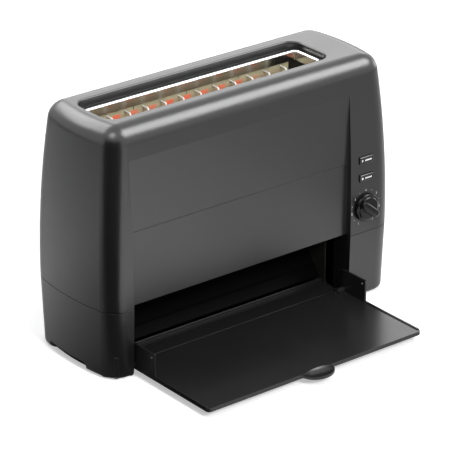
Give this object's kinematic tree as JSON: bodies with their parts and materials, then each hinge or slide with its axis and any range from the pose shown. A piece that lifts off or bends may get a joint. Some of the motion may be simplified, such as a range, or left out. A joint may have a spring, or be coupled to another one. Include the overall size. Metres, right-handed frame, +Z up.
{
  "type": "drop-through toaster",
  "caption": "Long-slot toaster whose toast drops past a gate and slides out onto a fold-down front tray, with push buttons and a browning knob on the right column.",
  "frame": {"origin": "on the table, under the middle of the whole object's box with the tray open", "axes": "+X to the right seen from the front, +Y from the front to the back, +Z up"},
  "size_m": [0.368, 0.257, 0.2586],
  "materials": {
    "casing_plastic": "satin black moulded plastic with a very fine texture",
    "tray_plastic": "satin-gloss black moulded plastic",
    "knob_plastic": "gloss black",
    "slot_metal": "bright pressed steel",
    "chassis_steel": "aluminised sheet steel",
    "mica": "pressed mica board",
    "heater_strip": "resistance strip, glowing",
    "guard_wire": "bright plated wire",
    "screw_steel": "zinc-plated",
    "bush_brass": "plain bearing metal",
    "coil_copper": "enamelled copper winding",
    "foot_rubber": "soft black rubber",
    "board_laminate": "glass-fibre laminate with green mask",
    "component_plastic": "dark component housing"
  },
  "bodies": {
    "casing": {"upper_housing": "casing_plastic", "base_housing": "casing_plastic", "outlet_sill": "tray_plastic", "slot_frame": "slot_metal", "bottom_cover": "chassis_steel", "left_end_plate": "chassis_steel", "right_end_plate": "chassis_steel", "front_reflector": "chassis_steel", "rear_reflector": "chassis_steel", "chute_plate": "chassis_steel", "solenoid_frame": "chassis_steel", "front_mica_board": "mica", "rear_mica_board": "mica", "front_heating_ribbon": "heater_strip", "rear_heating_ribbon": "heater_strip", "front_guard_wires": "guard_wire", "rear_guard_wires": "guard_wire", "housing_screws": "screw_steel", "cover_screws": "screw_steel", "chassis_screws": "screw_steel", "board_screws": "screw_steel", "power_board_screws": "screw_steel", "hinge_pins": "screw_steel", "plunger_spring": "screw_steel", "thermal_fuse": "screw_steel", "gate_bushings": "bush_brass", "solenoid_coil": "coil_copper", "rubber_feet": "foot_rubber", "cord_gland": "foot_rubber", "control_board": "board_laminate", "power_board": "board_laminate", "button_switches": "component_plastic", "timer_body": "component_plastic", "transformer": "component_plastic", "relay": "component_plastic", "terminal_block": "component_plastic"},
    "tray": {"serving_tray": "tray_plastic"},
    "gate": {"bread_gate": "chassis_steel", "gate_shaft": "screw_steel", "gate_crank": "chassis_steel"},
    "plunger": {"solenoid_plunger": "screw_steel"},
    "knob": {"browning_knob": "knob_plastic", "timer_shaft": "screw_steel"},
    "start_key": {"start_button": "casing_plastic"},
    "stop_key": {"stop_button": "casing_plastic"}
  },
  "joints": [
    {"name": "tray_hinge", "type": "hinge", "parent": "casing", "child": "tray", "pos_m": [-0.01425, 0.0045, 0.012], "axis": [-1, 0, 0], "range_deg": [0, 90]},
    {"name": "gate_hinge", "type": "hinge", "parent": "casing", "child": "gate", "pos_m": [-0.01425, 0.08625, 0.112], "axis": [1, 0, 0], "range_deg": [0, 60], "stiffness_Nm_per_rad": 0.12, "springref_deg": -40.11},
    {"name": "plunger_slide", "type": "slide", "parent": "casing", "child": "plunger", "axis": [0, 0, 1], "range_m": [0, 0.0101], "deforming": ["plunger_spring"]},
    {"name": "knob_turn", "type": "hinge", "parent": "casing", "child": "knob", "pos_m": [0.1422, -0.0023, 0.1009], "axis": [0, 1, 0], "range_deg": [-100, 200]},
    {"name": "start_push", "type": "slide", "parent": "casing", "child": "start_key", "axis": [0, 1, 0], "range_m": [0, 0.0012], "stiffness_N_per_m": 400, "springref_m": -0.0015},
    {"name": "stop_push", "type": "slide", "parent": "casing", "child": "stop_key", "axis": [0, 1, 0], "range_m": [0, 0.0012], "stiffness_N_per_m": 400, "springref_m": -0.0015}
  ],
  "couplings": [
    {"joint": "plunger_slide", "follows": "gate_hinge", "m_per_rad": 0.0095493}
  ]
}
